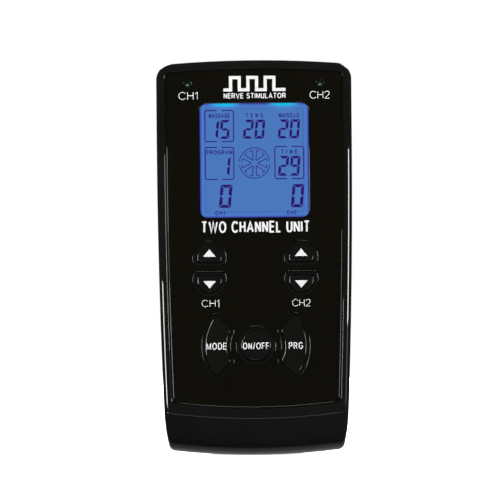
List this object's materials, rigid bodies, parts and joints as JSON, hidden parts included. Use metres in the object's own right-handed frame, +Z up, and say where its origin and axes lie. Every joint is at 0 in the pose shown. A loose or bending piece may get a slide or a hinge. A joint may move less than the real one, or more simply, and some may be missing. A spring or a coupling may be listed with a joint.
{
  "type": "tens unit",
  "caption": "Hand-held two-channel electrical muscle and nerve stimulator: glossy black case, lit blue display, seven keys, belt clip.",
  "frame": {"origin": "centre of the footprint, at the lowest point of the foot", "axes": "+X to the right of someone looking at the face, +Y from the face to the back, +Z up to the sockets"},
  "size_m": [0.07, 0.0356, 0.1418],
  "materials": {
    "case_gloss": "high-gloss black ABS",
    "fascia_gloss": "high-gloss black inlay",
    "button_gloss": "glossy black button caps",
    "case_matt": "fine-textured black ABS",
    "door_matt": "fine-textured black ABS",
    "clip_matt": "fine-textured black nylon",
    "window_clear": "clear polished acrylic",
    "display_blue": "blue negative-look liquid crystal glass",
    "frame_white": "white moulded holder",
    "light_white": "frosted acrylic light guide",
    "lamp_white": "white lamp",
    "strip_rubber": "striped conductive rubber",
    "board_green": "solder mask over glass fibre",
    "screw_steel": "zinc-plated",
    "chip_black": "moulded epoxy",
    "transformer_tape": "yellow tape over ferrite",
    "can_aluminium": "satin",
    "lamp_green": "tinted epoxy, unlit",
    "switch_black": "moulded",
    "plunger_black": "moulded",
    "socket_black": "moulded nylon",
    "contact_brass": "plated",
    "contact_nickel": "nickel-plated",
    "spring_steel": "bright wire",
    "pin_steel": "bright",
    "cell_wrap": "plain shrink wrap",
    "label_grey": "blank printed foil"
  },
  "bodies": {
    "root": {"battery_cells": "cell_wrap", "battery_contacts": "contact_nickel", "battery_springs": "spring_steel", "board_screws": "screw_steel", "buzzer": "chip_black", "capacitors": "can_aluminium", "case_screws": "screw_steel", "channel_lamps": "lamp_green", "charger_socket": "socket_black", "clip_pin": "pin_steel", "clip_spring": "spring_steel", "connector_strips": "strip_rubber", "controller_chip": "chip_black", "display_frame": "frame_white", "display_glass": "display_blue", "display_lamps": "lamp_white", "display_window": "window_clear", "driver_chips": "chip_black", "fascia_panel": "fascia_gloss", "front_case": "case_gloss", "light_panel": "light_white", "main_board": "board_green", "output_socket_1": "socket_black", "output_socket_2": "socket_black", "output_transformers": "transformer_tape", "rating_label": "label_grey", "rear_case": "case_matt", "socket_contacts": "contact_brass", "switch_housings": "switch_black"},
    "power": {"power_button": "button_gloss", "power_plunger": "plunger_black"},
    "mode": {"mode_button": "button_gloss", "mode_plunger": "plunger_black"},
    "programme": {"programme_button": "button_gloss", "programme_plunger": "plunger_black"},
    "channel_1_up": {"channel_1_up_button": "button_gloss", "channel_1_up_plunger": "plunger_black"},
    "channel_1_down": {"channel_1_down_button": "button_gloss", "channel_1_down_plunger": "plunger_black"},
    "channel_2_up": {"channel_2_up_button": "button_gloss", "channel_2_up_plunger": "plunger_black"},
    "channel_2_down": {"channel_2_down_button": "button_gloss", "channel_2_down_plunger": "plunger_black"},
    "belt_clip": {"belt_clip": "clip_matt"},
    "battery_door": {"battery_door": "door_matt"}
  },
  "joints": [
    {"name": "power_press", "type": "slide", "parent": "root", "child": "power", "axis": [0, 1, 0], "range_m": [0, 0.0006], "stiffness_N_per_m": 3000, "springref_m": -0.0003},
    {"name": "mode_press", "type": "slide", "parent": "root", "child": "mode", "axis": [0, 1, 0], "range_m": [0, 0.0006], "stiffness_N_per_m": 3000, "springref_m": -0.0003},
    {"name": "programme_press", "type": "slide", "parent": "root", "child": "programme", "axis": [0, 1, 0], "range_m": [0, 0.0006], "stiffness_N_per_m": 3000, "springref_m": -0.0003},
    {"name": "channel_1_up_press", "type": "slide", "parent": "root", "child": "channel_1_up", "axis": [0, 1, 0], "range_m": [0, 0.0006], "stiffness_N_per_m": 3000, "springref_m": -0.0003},
    {"name": "channel_1_down_press", "type": "slide", "parent": "root", "child": "channel_1_down", "axis": [0, 1, 0], "range_m": [0, 0.0006], "stiffness_N_per_m": 3000, "springref_m": -0.0003},
    {"name": "channel_2_up_press", "type": "slide", "parent": "root", "child": "channel_2_up", "axis": [0, 1, 0], "range_m": [0, 0.0006], "stiffness_N_per_m": 3000, "springref_m": -0.0003},
    {"name": "channel_2_down_press", "type": "slide", "parent": "root", "child": "channel_2_down", "axis": [0, 1, 0], "range_m": [0, 0.0006], "stiffness_N_per_m": 3000, "springref_m": -0.0003},
    {"name": "clip_hinge", "type": "hinge", "parent": "root", "child": "belt_clip", "pos_m": [0, 0.01295, 0.112], "axis": [1, 0, 0], "range_deg": [0, 14], "stiffness_Nm_per_rad": 0.25, "springref_deg": -17.19, "deforming": ["clip_spring"]},
    {"name": "door_slide", "type": "slide", "parent": "root", "child": "battery_door", "axis": [0, 0, -1], "range_m": [0, 0.072]}
  ]
}
